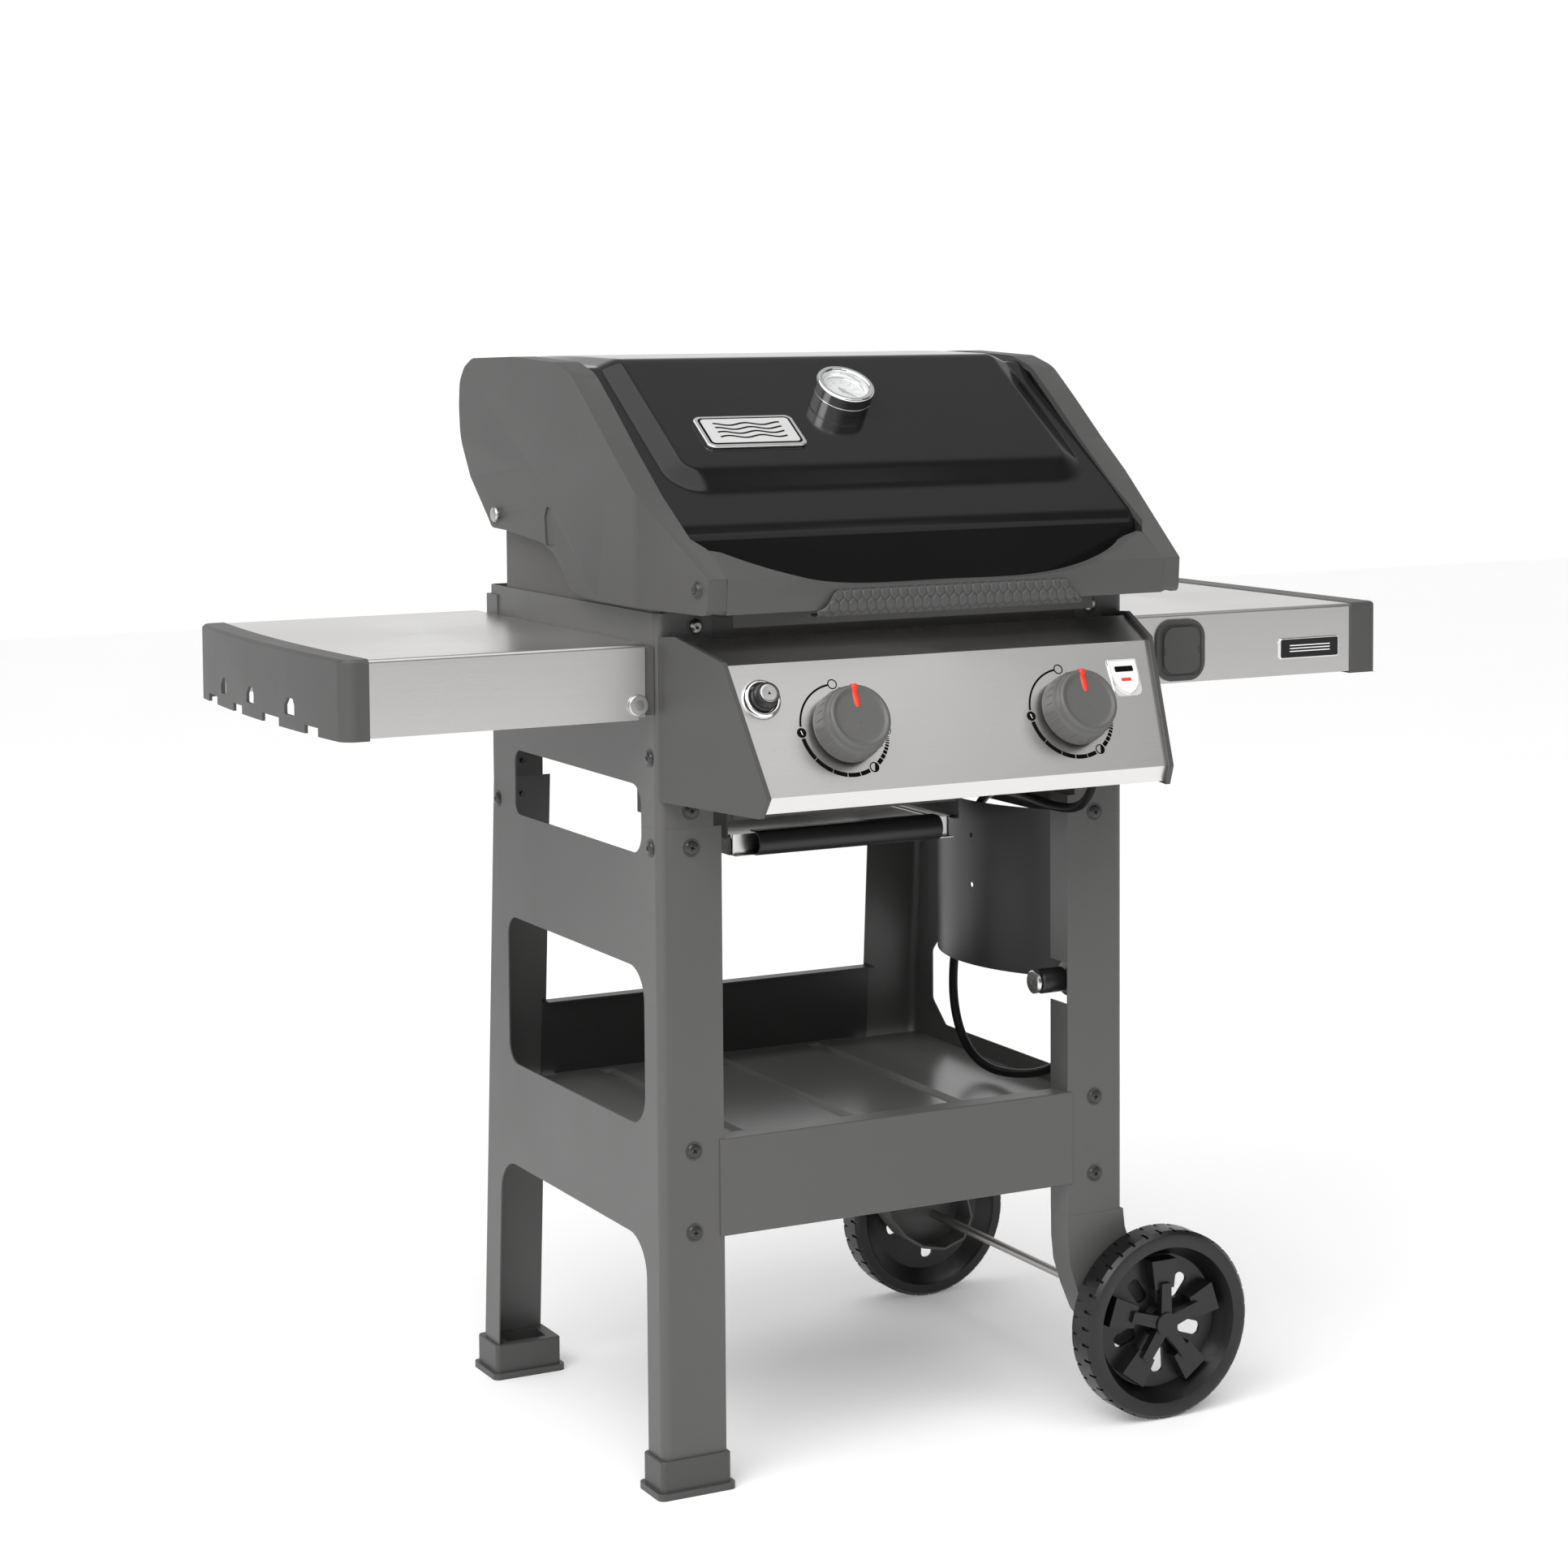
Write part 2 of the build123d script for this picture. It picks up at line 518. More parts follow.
with BuildPart() as tray_handle:
    with BuildSketch(Plane.YZ.offset(-110)):
        with Locations((TR_Y0 - 10.0, 634)):
            Circle(13)
            Circle(11, mode=Mode.SUBTRACT)
        with Locations((TR_Y0 + 13.0, 634)):
            Rectangle(26 + 20, 40, mode=Mode.SUBTRACT)
        with Locations((TR_Y0 - 5.0, 646)):
            Rectangle(10, 2)
        with Locations((TR_Y0 - 10.0, 617)):
            Rectangle(40, 8, mode=Mode.SUBTRACT)
    extrude(amount=220)
with BuildPart() as drip_pan:
    add(box(-126, 126, TR_Y0 + 6, TR_Y1 - 6, 622.2, 638))
    add(box(-125, 125, TR_Y0 + 7, TR_Y1 - 7, 623, 639), mode=Mode.SUBTRACT)
    add(box(-129, 129, TR_Y0 + 3.4, TR_Y1 - 3.4, 637.2, 638))
    add(box(-125, 125, TR_Y0 + 7, TR_Y1 - 7, 636, 639), mode=Mode.SUBTRACT)

# ------------------------------------------------------------------ control panel
PT = 1.2


def offset_pts(pts, d):
    out = []
    for i, (y, z) in enumerate(pts):
        segs = []
        if i > 0:
            segs.append((y - pts[i - 1][0], z - pts[i - 1][1]))
        if i < len(pts) - 1:
            segs.append((pts[i + 1][0] - y, pts[i + 1][1] - z))
        ns = []
        for (a, b) in segs:
            l = math.hypot(a, b)
            ns.append((-b / l, a / l))
        if len(ns) == 1:
            n = ns[0]
            k = 1.0
        else:
            n = (ns[0][0] + ns[1][0], ns[0][1] + ns[1][1])
            l = math.hypot(*n)
            n = (n[0] / l, n[1] / l)
            k = 1.0 / max(0.3, n[0] * ns[0][0] + n[1] * ns[0][1])
        out.append((y + n[0] * d * k, z + n[1] * d * k))
    return out


def thick(pts, d):
    return list(pts) + list(reversed(offset_pts(pts, d)))


panel_line = [(-25, 853), (-25, 865), (-89.8, 845), (-149.9, 722.6), (-140.7, 706), (-128, 706)]
panel_plan = [(-266.8, 0), (-226.8, -157), (226.8, -157), (266.8, 0)]
with BuildPart() as control_panel:
    add(prism_x(thick(panel_line, PT), -268, 268))
    add(prism_z(panel_plan, 600, 900), mode=Mode.INTERSECT)
    for sx in (-1, 1):
        add(rod(on_panel(sx * KNOB_X, -6), on_panel(sx * KNOB_X, 6), 8.0), mode=Mode.SUBTRACT)
    add(rod((IGN[0], IGN[1] - NY * 6, IGN[2] - NZ * 6), (IGN[0], IGN[1] + NY * 6, IGN[2] + NZ * 6), 13.0),
        mode=Mode.SUBTRACT)
cap_yz = [(0, 867), (-25, 869), (-93, 849), (-155, 723), (-144.5, 702.5), (0, 703.5)]
cap_plan = [(-272, 0), (-232, -157), (-226.8, -157), (-266.8, 0)]
with BuildPart() as panel_left_cap:
    add(prism_x(cap_yz, -275, -220, r=2.0))
    add(prism_z(cap_plan, 600, 900), mode=Mode.INTERSECT)
    add(box(-271.6, -246, -3, 0, 708, 862))
panel_right_cap = mirror_x(panel_left_cap.part)
with BuildPart() as panel_badge:
    with BuildSketch(Plane(origin=(204.9, -107.2 + 0.0, 809.7), x_dir=(1, 0, 0), z_dir=N)):
        RectangleRounded(34, 40, 8)
    extrude(amount=1.0)

# ------------------------------------------------------------------ gas manifold, valves, knobs
MAN = (RING[0] - NY * 52.0, RING[1] - NZ * 52.0)
MAN_X1 = 182.0
with BuildPart() as gas_manifold:
    add(rod((-152, MAN[0], MAN[1]), (MAN_X1, MAN[0], MAN[1]), 9.0))
    for x in (-40.0, 40.0):
        add(box(x - 9, x + 9, MAN[0] + 4, CB_Y0, MAN[1] - 1.5, MAN[1] + 1.5))
        add(box(x - 9, x + 9, CB_Y0 - 2.4, CB_Y0, MAN[1] - 1.5, MAN[1] + 22))
with BuildPart() as valve_bodies:
    for sx in (-1, 1):
        x = sx * KNOB_X
        add(rod(on_panel(x, -66), on_panel(x, -8), 13.5))
        add(rod((x, MAN[0] - 4, BURN_Z - 2), (x, -40, BURN_Z), 5.0))
        add(rod(on_panel(x, -40), on_panel(x, -7), 6.0), mode=Mode.SUBTRACT)
    add(rod((-152, MAN[0], MAN[1]), (MAN_X1, MAN[0], MAN[1]), 9.0), mode=Mode.SUBTRACT)
plugs, knobs = [], []
for sx in (-1, 1):
    x = sx * KNOB_X
    with BuildPart() as plug:
        add(rod(on_panel(x, -39.6), on_panel(x, -9), 5.94))
        add(rod(on_panel(x, -10), on_panel(x, 27), 4.0))
        with BuildPart(mode=Mode.PRIVATE) as flat:
            with BuildSketch(Plane(origin=on_panel(x, 1), x_dir=(1, 0, 0), z_dir=N)):
                with Locations((0, 6.0)):
                    Rectangle(12, 6)
            extrude(amount=30)
        add(flat.part, mode=Mode.SUBTRACT)
    plugs.append(plug.part)
    with BuildPart() as knob:
        add(turned([(0, 5), (28, 5), (32.5, 5), (32.5, 14), (31, 17), (29.6, 36), (27.5, 39), (20, 37.5),
                    (0, 37.0)], on_panel(x), N))
        add(turned([(9, 4), (27.5, 4), (26, 30), (9, 30)], on_panel(x), N), mode=Mode.SUBTRACT)
        with BuildPart(mode=Mode.PRIVATE) as bore:
            with BuildSketch(Plane(origin=on_panel(x, 0), x_dir=(1, 0, 0), z_dir=N)):
                Circle(4.06)
                with Locations((0, 6.06)):
                    Rectangle(12, 6, mode=Mode.SUBTRACT)
            extrude(amount=31)
        add(bore.part, mode=Mode.SUBTRACT)
    knobs.append(knob.part)


def on_ign(h):
    return (IGN[0], IGN[1] + NY * h, IGN[2] + NZ * h)


with BuildPart() as igniter_bezel:
    add(turned([(9.6, -46), (12.8, -46), (12.8, 0), (19.5, 0), (19.5, 2.5), (16, 6), (13.5, 6.6), (9.6, 6.6)],
               on_ign(0), N))
    add(turned([(0, -46), (12.8, -46), (12.8, -42), (0, -42)], on_ign(0), N))
with BuildPart() as igniter_button:
    add(turned([(0, -8), (9.2, -8), (9.2, 13), (8.2, 15), (5, 16), (0, 16.4)], on_ign(0), N))

# ------------------------------------------------------------------ left table (folds down)
LT_Y0, LT_Y1 = 2.0, 440.0
ymid = (LT_Y0 + LT_Y1) / 2
TT = 1.2
Z0 = TABLE_TOP - TABLE_SKIRT


def cap_inner_region(z0, z1):
    with BuildPart() as p:
        with BuildSketch(Plane.XY.offset(z0)):
            with BuildLine():
                ThreePointArc((-572, LT_Y0 - 6), (-583, ymid), (-572, LT_Y1 + 6))
                Polyline((-572, LT_Y1 + 6), (-640, LT_Y1 + 6), (-640, LT_Y0 - 6), (-572, LT_Y0 - 6))
            make_face()
        extrude(amount=z1 - z0)
    return p.part


def cap_outer_region(z0, z1, inset):
    with BuildPart() as p:
        with BuildSketch(Plane.XY.offset(z0)) as s:
            with BuildLine():
                ThreePointArc((-599 + inset, LT_Y0 + inset), (-CAP_OUT + inset, ymid), (-599 + inset, LT_Y1 - inset))
                Polyline((-599 + inset, LT_Y1 - inset), (-540, LT_Y1 - inset), (-540, LT_Y0 + inset),
                         (-599 + inset, LT_Y0 + inset))
            make_face()
            fillet([v for v in s.vertices() if v.X < -580], radius=16 - inset)
        extrude(amount=z1 - z0)
    return p.part


with BuildPart() as left_table_top:
    add(box(-600, -285, LT_Y0 + 0.6, LT_Y1 - 0.6, Z0, TABLE_TOP))
    tp = [e for e in left_table_top.edges().group_by(Axis.Z)[-1] if abs(e.tangent_at(0.5).X) > 0.9]
    fillet(tp, radius=3.5)
    add(box(-601, -284, LT_Y0 + 0.6 + TT, LT_Y1 - 0.6 - TT, Z0 - 1, TABLE_TOP - TT), mode=Mode.SUBTRACT)
    # rounded lug corners at the inner end
    for y in (LT_Y0 - 3, LT_Y1 - 9):
        add(box(-292, -284, y, y + 12, Z0 - 1, Z0 + 3), mode=Mode.SUBTRACT)
    add(rod((PIV_X, LT_Y0 - 2, PIV_Z), (PIV_X, LT_Y1 + 2, PIV_Z), 4.1), mode=Mode.SUBTRACT)
    add(cap_inner_region(700, 900), mode=Mode.SUBTRACT)
with BuildPart() as left_table_cap:
    add(cap_outer_region(Z0 - 2.4, TABLE_TOP + 0.8, 0.0))
    chamfer(left_table_cap.edges().group_by(Axis.Z)[-1], length=3.0)
    add(cap_inner_region(700, 900), mode=Mode.INTERSECT)
    with BuildPart(mode=Mode.PRIVATE) as hollow:
        add(cap_outer_region(Z0 - 4, TABLE_TOP - 4, 3.2))
        add(box(-640, -500, LT_Y0 + 3.2, LT_Y1 - 3.2, Z0 - 4, TABLE_TOP - 4), mode=Mode.INTERSECT)
    add(hollow.part, mode=Mode.SUBTRACT)
    # tool hooks: windows above the lower edge, stepped bottom between them
    for (a, b) in ((96, 156), (212, 269), (307, 361)):
        add(prism_x([(a + 22, 797), (b - 12, 797), (b - 12, 806), (b - 20, 814), (a + 26, 814), (a + 22, 808)],
                    -640, -596, r=2.0), mode=Mode.SUBTRACT)
    for (a, b) in ((60, 92), (160, 208), (273, 303), (365, 400)):
        add(box(-640, -560, a, b, Z0 - 5, Z0 + 6), mode=Mode.SUBTRACT)
with BuildPart() as left_table_brackets:
    for (y0, y1, s) in ((LT_Y0 + 3.2, LT_Y0 + 5.6, 1), (LT_Y1 - 5.6, LT_Y1 - 3.2, -1)):
        add(box(-304, -HW, y0, y1, Z0 + 4, 856.5))
        a, b = sorted((y0 if s > 0 else y1, (y0 + 26) if s > 0 else (y1 - 26)))
        add(box(-HW - 2.0, -HW, a, min(b, 426.5) if s < 0 else b, Z0 + 4, 856.5))
    add(box(-HW - 2.0, -HW + 60, DEPTH, DEPTH + 2.0, 832, 880))
    add(box(-HW - 2.0, -HW, 400, DEPTH + 2.0, Z0 + 4, 880))
    add(box(-HW - 2.0, -HW, DEPTH, LT_Y1 - 5.0, Z0 + 4, 856.5))
    add(rod((PIV_X, -5, PIV_Z), (PIV_X, 460, PIV_Z), 4.0), mode=Mode.SUBTRACT)
    add(screw_holes.part, mode=Mode.SUBTRACT)
with BuildPart() as left_pivot_bolts:
    add(rod((PIV_X, LT_Y0 - 0.2, PIV_Z), (PIV_X, LT_Y0 + 9, PIV_Z), 4.0))
    add(turned([(0, 0), (8.5, 0), (8.0, 2.4), (4.5, 3.2), (0, 3.3)], (PIV_X, LT_Y0 + 0.3, PIV_Z), (0, -1, 0)))
    add(rod((PIV_X, LT_Y1 - 9, PIV_Z), (PIV_X, LT_Y1 + 0.2, PIV_Z), 4.0))
    add(turned([(0, 0), (8.5, 0), (8.0, 2.4), (4.5, 3.2), (0, 3.3)], (PIV_X, LT_Y1 - 0.3, PIV_Z), (0, 1, 0)))

# ------------------------------------------------------------------ right table (fixed)
RT_Y0, RT_Y1 = 2.0, 430.0
with BuildPart() as right_table_top:
    add(box(276, TABLE_OUT, RT_Y0, RT_Y1, Z0, TABLE_TOP))
    tp = [e for e in right_table_top.edges().group_by(Axis.Z)[-1] if abs(e.tangent_at(0.5).X) > 0.9]
    fillet(tp, radius=3.5)
    add(box(275, TABLE_OUT + 1, RT_Y0 + TT, RT_Y1 - TT, Z0 - 1, TABLE_TOP - TT), mode=Mode.SUBTRACT)
    add(box(330, 364, RT_Y0 - 1, RT_Y0 + 3, 806, 836), mode=Mode.SUBTRACT)
with BuildPart() as right_table_cap:
    with BuildSketch(Plane.XY.offset(Z0 - 2.4)) as s:
        with BuildLine():
            Polyline((TABLE_OUT, RT_Y0 - 1), (CAP_OUT, RT_Y0 - 1), (CAP_OUT, RT_Y1 + 1), (TABLE_OUT, RT_Y1 + 1),
                     close=True)
        make_face()
        fillet([v for v in s.vertices() if v.X > 600], radius=10)
    extrude(amount=TABLE_SKIRT + 3.2)
    chamfer(right_table_cap.edges().group_by(Axis.Z)[-1], length=2.5)
    add(box(TABLE_OUT - 1, CAP_OUT - 3.2, RT_Y0 + 2.4, RT_Y1 - 2.4, Z0 - 4, TABLE_TOP - 3), mode=Mode.SUBTRACT)
with BuildPart() as right_table_brackets:
    for (y0, y1) in ((RT_Y0 + TT, RT_Y0 + TT + 2.4), (422.0, 424.4)):
        add(box(HW, 330 if y0 < 100 else 330, y0, y1, 792, TABLE_TOP - TT))
    add(box(HW, HW + 2.0, RT_Y0 + TT, 34, 792, TABLE_TOP - TT))
    add(box(HW, HW + 2.0, 396, 424.4, 792, TABLE_TOP - TT))
    add(screw_holes.part, mode=Mode.SUBTRACT)
with BuildPart() as gauge_cover:
    with BuildSketch(Plane.XZ.offset(-RT_Y0)):
        with Locations((347, 821)):
            RectangleRounded(62, 66, 20)
    extrude(amount=3.0)
    with BuildSketch(Plane.XZ.offset(-RT_Y0 + 3.0)):
        with Locations((347, 821)):
            RectangleRounded(46, 50, 14)
    extrude(amount=2.0)
    add(box(331, 363, RT_Y0, RT_Y0 + 5, 807, 835))
with BuildPart() as table_badge:
    with BuildSketch(Plane.XZ.offset(-RT_Y0)):
        with Locations((515, 815)):
            RectangleRounded(80, 17, 2)
    extrude(amount=1.0)

# ------------------------------------------------------------------ lid
LX = 290.0
lid_side = [(-110, 931), (-107, 895.5), (144, 896), (174, 900.6), (216, 935.5), (248, 946), (345, 954),
            (385, 955), (402, 973), (435, 1006), (464, 1050), (467, 1085), (464, 1112), (450, 1128),
            (427, 1137.6), (317, 1140), (205, 1135.5), (164, 1124), (121, 1092), (65, 1048), (7, 1005),
            (-46, 971.5)]
LID_R = {(-110, 931): 3, (-107, 895.5): 8, (144, 896): 5, (174, 900.6): 12, (216, 935.5): 14, (248, 946): 10,
         (385, 955): 14, (402, 973): 12, (435, 1006): 40, (464, 1050): 50, (467, 1085): 60, (464, 1112): 22,
         (450, 1128): 20, (427, 1137.6): 30, (317, 1140): 60, (205, 1135.5): 50, (164, 1124): 60,
         (121, 1092): 90, (65, 1048): 120, (7, 1005): 120, (-46, 971.5): 110}
lid_void = [(-104, 880), (-104.6, 927), (-43, 965), (11, 998.5), (69, 1042), (125, 1086), (167, 1117.5),
            (206, 1129.5), (317, 1134), (425, 1131.6), (446, 1123), (458, 1111), (461, 1085), (458, 1052),
            (432, 1012), (428, 1004), (480, 1004), (480, 880)]
lid_plan = [(-262, -120), (-268, -120), (-270, -111), (-289, 7), (-290, 20), (-290, 480), (-262, 480)]
void_plan = [(-255, -130), (-261.5, -130), (-264, -111), (-283, 7), (-284, 20), (-284, 490), (-255, 490)]
with BuildPart() as lcv:
    add(prism_x(lid_void, -300, -250))
    add(prism_z(void_plan, 800, 1200), mode=Mode.INTERSECT)
with BuildPart() as lid_left_casting:
    add(prism_x_radii([(a, b, LID_R.get((a, b), 0)) for a, b in lid_side], -300, -250))
    add(prism_z([(-243, -120), (-268, -120), (-270, -111), (-289, 7), (-290, 20), (-290, 480), (-262, 480),
                 (-262, -54), (-252, -68), (-243, -90)], 800, 1200), mode=Mode.INTERSECT)
    add(lcv.part, mode=Mode.SUBTRACT)
    # shallow facet low on the side
    add(prism_x([(277, 1027), (231, 1006), (106, 901.5), (100, 880), (480, 880), (480, 1004), (438, 1008)],
                -292, -286.8), mode=Mode.SUBTRACT)
    add(prism_x([(219, 944), (239, 944), (242, 974), (236, 984), (226, 984), (219, 976)], -292, -285.2,
                r=3.0), mode=Mode.SUBTRACT)
    add(rod((-300, HY, HZ), (-270, HY, HZ), 5.1), mode=Mode.SUBTRACT)
lid_right_casting = mirror_x(lid_left_casting.part)

SL = 0.693
sl = math.hypot(1, SL)
V = (0.0, 1 / sl, SL / sl)
NS = (0.0, -SL / sl, 1 / sl)
S_O = (0.0, 55.0, 1035.4)


def on_slope(x, s, h=0.0):
    return (x, S_O[1] + V[1] * s + NS[1] * h, S_O[2] + V[2] * s + NS[2] * h)


shroud_line = [(445, 985), (457.5, 1050), (457.5, 1105), (450, 1119), (425, 1130), (317, 1132.5), (200, 1130),
               (190, 1129), (-30, 976.5), (-39, 966), (-52, 900), (-52, 897)]
SHT = 1.5
SHX = 261.8


def slope_loft(outline0, h0, outline1, h1):
    with BuildPart() as p:
        for (o, h) in ((outline0, h0), (outline1, h1)):
            with BuildSketch(Plane(origin=on_slope(0, 0, h), x_dir=(1, 0, 0), z_dir=NS)):
                with BuildLine():
                    Polyline(*o, close=True)
                make_face()
        loft(ruled=True)
    return p.part


def outline(pts):
    return pts + [(-a, b) for a, b in reversed(pts)]


raise0 = outline([(247, 156), (247, 95), (247, -10), (241, -32.5), (224.5, -49), (202, -55)])
raise1 = outline([(226, 148), (226, 88), (226, 2), (221.5, -8), (211, -17), (196, -20)])
in0 = outline([(245, 153), (245, 95), (245, -9), (239.2, -31.2), (223.4, -47.2), (201.5, -53)])
in1 = outline([(224.4, 146), (224.4, 88), (224.4, 2.6), (220, -6.6), (210, -15.4), (195.4, -18.4)])
with BuildPart() as lid_shroud:
    add(prism_x(thick(shroud_line, SHT), -SHX, SHX))
    add(slope_loft(raise0, -0.6, raise1, 7.0))
    add(slope_loft(in0, -2.6, in1, 5.5), mode=Mode.SUBTRACT)
    # turned edges where the shroud meets the castings
    add(rod(on_slope(0, 86.5, -8), on_slope(0, 86.5, 20), 3.2), mode=Mode.SUBTRACT)

hp = [(-107, 895.5), (-111, 930.6), (-68, 957), (-60, 957), (-74, 895.5)]
with BuildPart() as lid_handle:
    add(prism_x(hp, -243, 243))
    with BuildPart(mode=Mode.PRIVATE) as over:
        with BuildSketch(Plane.XZ.offset(150)):
            with BuildLine():
                Spline((-243.5, 956), (-205, 940), (-150, 925), (0, 919), (150, 925), (205, 940), (243.5, 956))
                Polyline((243.5, 956), (243.5, 990), (-243.5, 990), (-243.5, 956))
            make_face()
        extrude(amount=-150)
    add(over.part, mode=Mode.SUBTRACT)
    with BuildPart(mode=Mode.PRIVATE) as back:
        with BuildSketch(Plane.XY.offset(880)):
            with BuildLine():
                Spline((-236, -50), (-205, -76), (-150, -87), (0, -90), (150, -87), (205, -76), (236, -50))
                Polyline((236, -50), (-236, -50))
            make_face()
        extrude(amount=100)
    add(back.part, mode=Mode.SUBTRACT)
with BuildPart() as handle_grip:
    add(prism_x([(-99, 889.5), (-108, 889.2), (-112.4, 896), (-113.4, 905), (-111.6, 913), (-106, 912),
                 (-101, 898)], -143, 143))
    add(lid_handle.part, mode=Mode.SUBTRACT)

with BuildPart() as hinge_pins:
    for sx in (-1, 1):
        add(rod((sx * (CB_X - CW - 3), HY, HZ), (sx * 291, HY, HZ), 5.0))
        add(turned([(0, 0), (8.5, 0), (7.6, 2.4), (4, 3.4), (0, 3.5)], (sx * 290.4, HY, HZ), (sx, 0, 0),
                   (0, 1, 0)))
with BuildPart() as lid_screws:
    for sx in (-1, 1):
        p, n = (sx * 273.15, -92.0, 920.0), (sx * 0.987, -0.161, 0)
        add(turned([(0, 0), (6.5, 0), (5.8, 2.2), (3.2, 3.0), (0, 3.1)], p, n, (0, 0, 1)))
with BuildPart() as lid_badge:
    with BuildSketch(Plane(origin=on_slope(-130, 30, 7.0), x_dir=(1, 0, 0), z_dir=NS)):
        RectangleRounded(118, 55, 8)
    extrude(amount=3.5)

# ------------------------------------------------------------------ thermometer
TS = 86.5
TB = on_slope(0, TS, 7.0)
with BuildPart() as thermometer_bezel:
    add(turned([(0, 0), (31.2, 0), (32.6, 1.4), (32.6, 10.6), (31.4, 11.4), (31.4, 22.6), (29.6, 24.8),
                (25.4, 24.8), (24.4, 23.4), (24.4, 13), (0, 13)], TB, NS))
    add(turned([(0, -62), (3.0, -62), (3.0, 0.5), (0, 0.5)], TB, NS))
    add(turned([(0, -7), (9, -7), (9, -1.6), (0, -1.6)], TB, NS))
    add(turned([(0, 12), (1.05, 12), (1.05, 14), (0, 14)], TB, NS), mode=Mode.SUBTRACT)
with BuildPart() as thermometer_dial:
    add(turned([(1.05, 13), (23.9, 13), (23.9, 13.8), (1.05, 13.8)], TB, NS))
with BuildPart() as thermometer_glass:
    add(turned([(0, 20.4), (24.4, 20.4), (24.4, 21.8), (0, 21.8)], TB, NS))
NA = math.radians(-52)
with BuildPart() as thermometer_needle:
    pl = Plane(origin=on_slope(0, TS, 7.0 + 15.0), x_dir=(1, 0, 0), z_dir=NS).rotated((0, 0, 0))
    with BuildSketch(pl):
        with Locations((0, 0)):
            Circle(2.4)
        with BuildLine():
            ca, sa = math.cos(NA), math.sin(NA)
            Polyline((-6 * ca + 1.4 * sa, -6 * sa - 1.4 * ca), (18 * ca, 18 * sa),
                     (-6 * ca - 1.4 * sa, -6 * sa + 1.4 * ca), close=True)
        make_face()
    extrude(amount=0.8)
    add(turned([(0, 12.3), (1.0, 12.3), (1.0, 22.2 - 7.0), (0, 22.2 - 7.0)], TB, NS))

# ------------------------------------------------------------------ regulator, fitting and gas hose
REG = (232.0, 26.0, 474.0)
with BuildPart() as regulator:
    add(turned([(0, -14), (18, -14), (20, -11), (20, 5), (15, 10), (0, 12)], REG, (1, 0, 0), (0, 1, 0)))
    add(rod((REG[0] + 8, REG[1], REG[2]), (HW - T, REG[1], REG[2]), 5.5))
    add(rod((REG[0] - 52, REG[1], REG[2]), (REG[0] - 10, REG[1], REG[2]), 6.0))
    add(rod((REG[0] - 4, REG[1], REG[2] - 40), (REG[0] - 4, REG[1], REG[2] - 14), 6.5))
with BuildPart() as coupling_nut:
    add(turned([(6.08, 0), (12, 0), (13.2, 2), (13.2, 28), (11.5, 31), (6.08, 31)],
               (REG[0] - 18.0, REG[1], REG[2]), (-1, 0, 0), (0, 1, 0)))
with BuildPart() as dust_plug:
    add(turned([(0, 0), (12.4, 0), (12.4, 3.0), (11, 4.0), (0, 4.0)], (REG[0] - 52, REG[1], REG[2]), (-1, 0, 0),
               (0, 1, 0)))
FITX = 190.0
FIT_Z = MAN[1] - 26
with BuildPart() as hose_fitting:
    add(box(MAN_X1, MAN_X1 + 18, MAN[0] - 9, MAN[0] + 9, MAN[1] - 10, MAN[1] + 10))
    chamfer(hose_fitting.edges().filter_by(Axis.X), length=3)
    add(rod((FITX, MAN[0], FIT_Z), (FITX, MAN[0], MAN[1] - 9), 7.0))

HOSE = [(FITX, MAN[0], FIT_Z), (FITX, MAN[0], FIT_Z - 27), (FITX + 0.5, MAN[0] + 15, 679), (FITX + 1, -33, 665),
        (FITX + 0.5, 8, 663.5), (193, 55, 666), (199, 104, 667), (207, 150, 663), (214, 191, 647),
        (218, 221, 616), (220, 238, 575), (221, 247, 530), (220, 256, 484), (219, 264, 441), (219, 262, 402),
        (220, 248, 370), (221, 222, 350), (223, 188, 342.5), (225, 152, 345), (226.5, 118, 351),
        (227.5, 86, 360), (228, 58, 373), (228, 37, 389), (228, 26, 411), (228, 26, REG[2] - 40)]
HOSE[2] = (FITX + 0.5, MAN[0] + 14, FIT_Z - 51)
HOSE[3] = (FITX + 1, MAN[0] + 40, FIT_Z - 65)
hose_r = []
for i in range(1, len(HOSE) - 1):
    a = Vector(*HOSE[i]) - Vector(*HOSE[i - 1])
    b = Vector(*HOSE[i + 1]) - Vector(*HOSE[i])
    turn = math.radians(a.get_angle(b))
    hose_r.append(min(400.0, 0.45 * min(a.length, b.length) / math.tan(turn / 2)))
print("hose radii", [round(r) for r in hose_r])
with BuildPart() as gas_hose:
    with BuildLine() as route:
        FilletPolyline(*HOSE, radius=hose_r)
    with BuildSketch(Plane(origin=HOSE[0], z_dir=Vector(*HOSE[1]) - Vector(*HOSE[0]))):
        Circle(HOSE_D / 2)
    sweep()
hl = sum(e.length for e in route.edges())
print("hose length", round(hl, 1), "volume", round(gas_hose.part.volume), "expected",
      round(hl * math.pi * HOSE_D ** 2 / 4))

# ------------------------------------------------------------------ hub caps


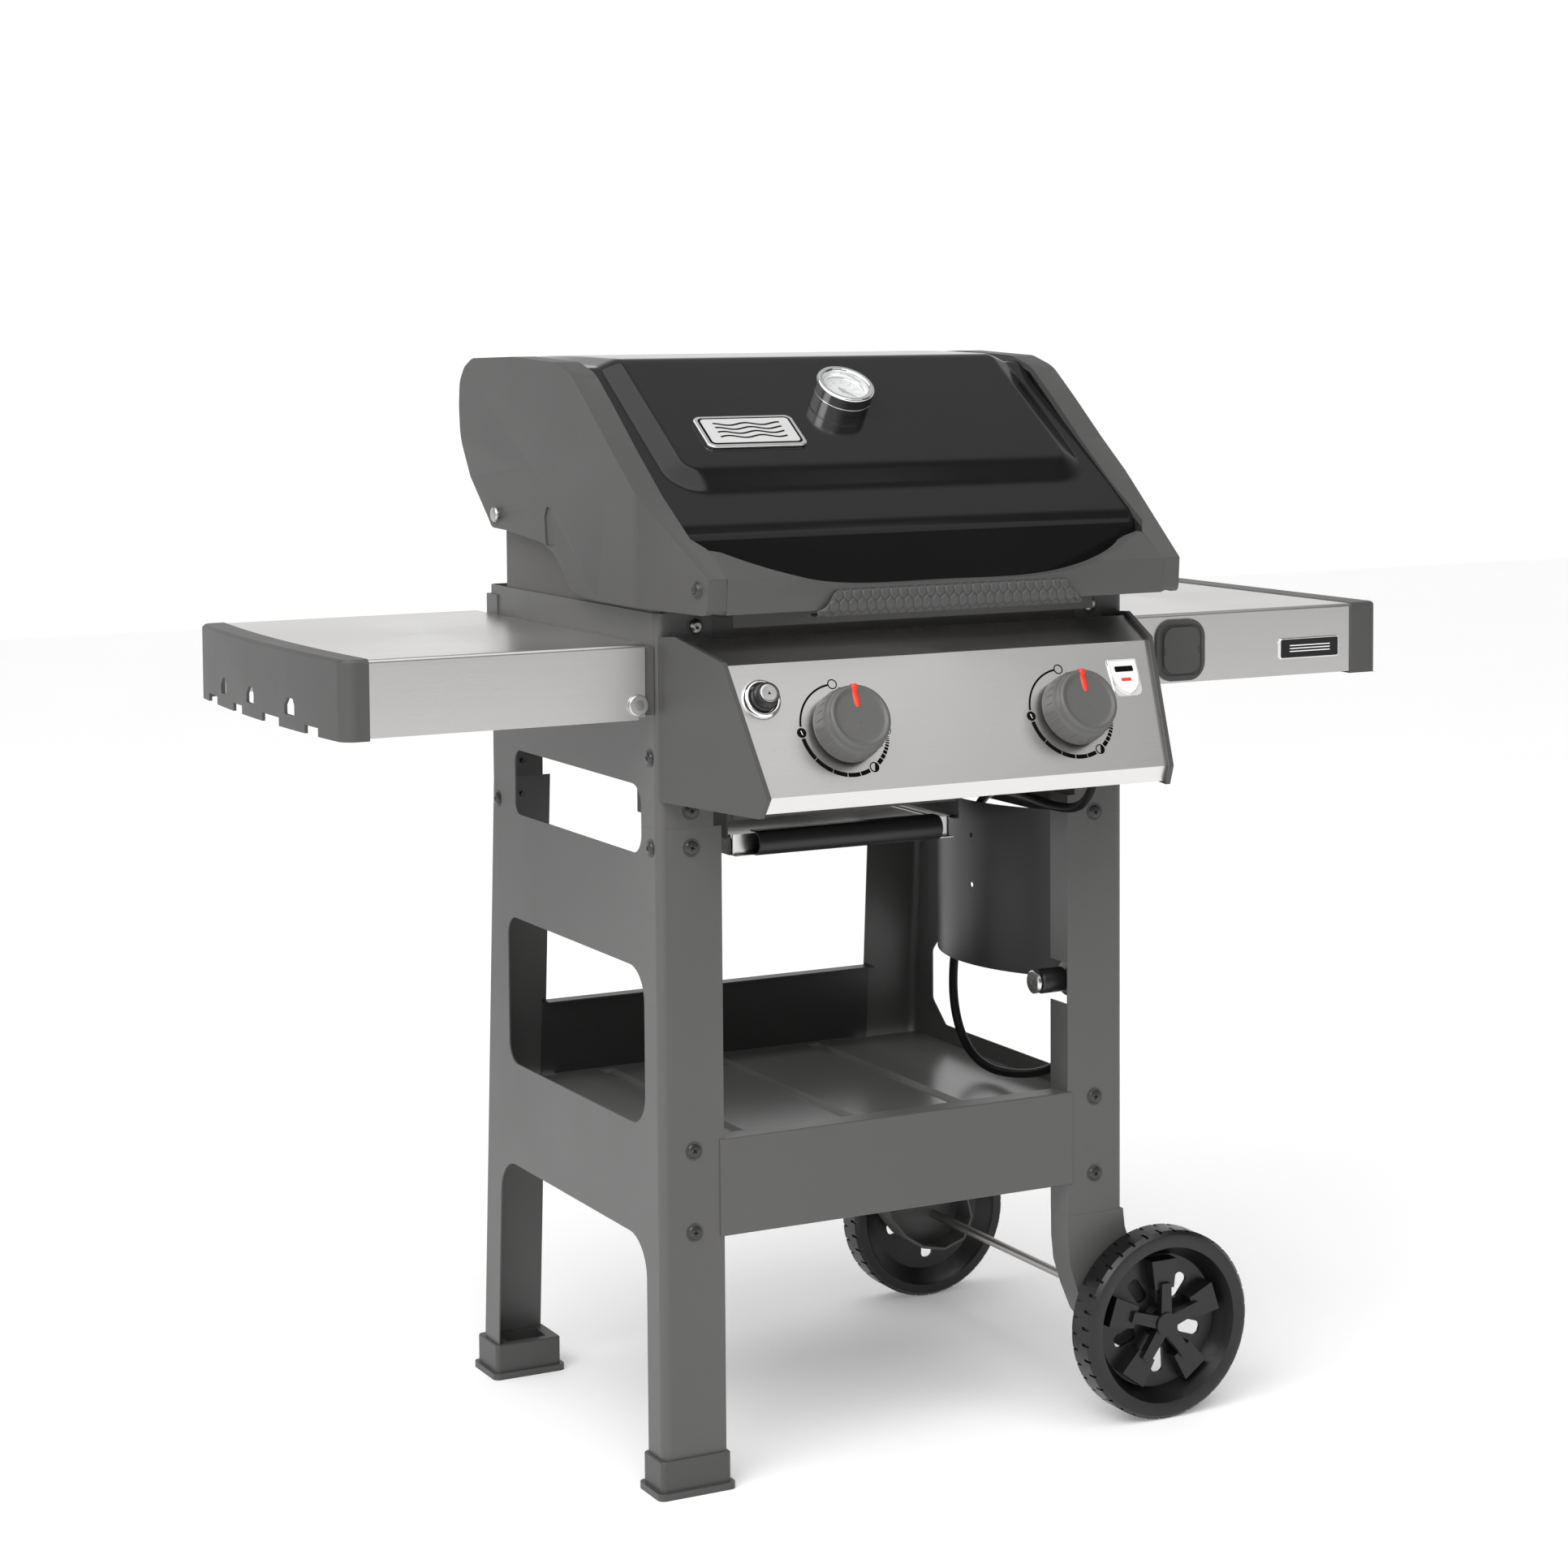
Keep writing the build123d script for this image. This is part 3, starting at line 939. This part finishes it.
def star(y_in, y_out):
    s = -1.0 if y_out < y_in else 1.0
    web = y_in + s * 14.0
    with BuildPart() as c:
        for k in range(5):
            a = math.radians(90 + 72 * k)

            def pt(r, t):
                return (AX_X + r * math.cos(a) - t * math.sin(a), AX_Z + r * math.sin(a) + t * math.cos(a))
            y0, y1 = sorted((web, web + s * 15.0))
            add(prism_y([pt(38, -12), pt(38, -6), pt(44, -6), pt(44, 6), pt(38, 6), pt(38, 12), pt(69, 16),
                         pt(69, -16)], y0, y1))
            y0, y1 = sorted((web + s * 10.0, web + s * 19.0))
            add(prism_y([pt(0, -7), pt(43, -6), pt(43, 6), pt(0, 7)], y0, y1))
            y0, y1 = sorted((web, web + s * 19.0))
            add(prism_y([pt(38, -5.5), pt(44.5, -5.5), pt(44.5, 5.5), pt(38, 5.5)], y0, y1))
        y0 = web + s * 17.0
        with BuildSketch(Plane(origin=(AX_X, y0, AX_Z), x_dir=(1, 0, 0), z_dir=(0, s, 0))):
            Circle(13)
        extrude(amount=4.0)
    return c.part


front_wheel_cap = star(WF1, WF0)
rear_wheel_cap = star(WR0, WR1)

# ------------------------------------------------------------------ export
parts = {
    "left_lower_frame": left_lower_frame.part, "right_lower_frame": right_lower_frame.part,
    "left_upper_frame": left_upper_frame.part, "right_upper_frame": right_upper_frame.part,
    "front_beam": front_beam.part, "rear_beam": rear_beam.part, "bottom_shelf": bottom_shelf.part,
    "leg_feet": Compound(children=[front_foot.part, rear_foot.part]),
    "front_wheel_bracket": front_wheel_bracket, "rear_wheel_bracket": rear_wheel_bracket,
    "axle_rod": axle_rod.part, "axle_hardware": Compound(children=[axle_clips.part, axle_collars.part]),
    "frame_screws": frame_screws.part, "tank_shield": tank_shield.part,
    "front_wheel": front_wheel, "front_wheel_cap": front_wheel_cap,
    "rear_wheel": rear_wheel, "rear_wheel_cap": rear_wheel_cap,
    "cookbox": cookbox.part, "burner_tubes": Compound(children=burners),
    "heat_bars": heat_bars.part, "cooking_grates": cooking_grates.part, "warming_rack": warming_rack.part,
    "tray_rails": tray_rails.part, "grease_tray": grease_tray.part, "tray_handle": tray_handle.part,
    "drip_pan": drip_pan.part,
    "control_panel": control_panel.part, "panel_left_cap": panel_left_cap.part,
    "panel_right_cap": panel_right_cap,
    "badge_plates": Compound(children=[panel_badge.part, table_badge.part]),
    "gas_manifold": gas_manifold.part, "valve_bodies": valve_bodies.part,
    "valve_stem_left": plugs[0], "valve_stem_right": plugs[1],
    "knob_left": knobs[0], "knob_right": knobs[1],
    "igniter_bezel": igniter_bezel.part, "igniter_button": igniter_button.part,
    "left_table_top": left_table_top.part, "left_table_cap": left_table_cap.part,
    "table_brackets": Compound(children=[left_table_brackets.part, right_table_brackets.part]),
    "pivot_pins": Compound(children=[left_pivot_bolts.part, hinge_pins.part]),
    "right_table_top": right_table_top.part, "right_table_cap": right_table_cap.part,
    "gauge_cover": gauge_cover.part,
    "lid_left_casting": lid_left_casting.part, "lid_right_casting": lid_right_casting,
    "lid_shroud": lid_shroud.part, "lid_handle": lid_handle.part, "handle_grip": handle_grip.part,
    "lid_trim": Compound(children=[lid_screws.part, lid_badge.part]),
    "thermometer_bezel": thermometer_bezel.part, "thermometer_dial": thermometer_dial.part,
    "thermometer_glass": thermometer_glass.part, "thermometer_needle": thermometer_needle.part,
    "regulator": Compound(children=[regulator.part, dust_plug.part]), "coupling_nut": coupling_nut.part,
    "hose_fitting": hose_fitting.part, "gas_hose": gas_hose.part,
}
for name, part in parts.items():
    save(part, name)
print("nodes", len(parts))
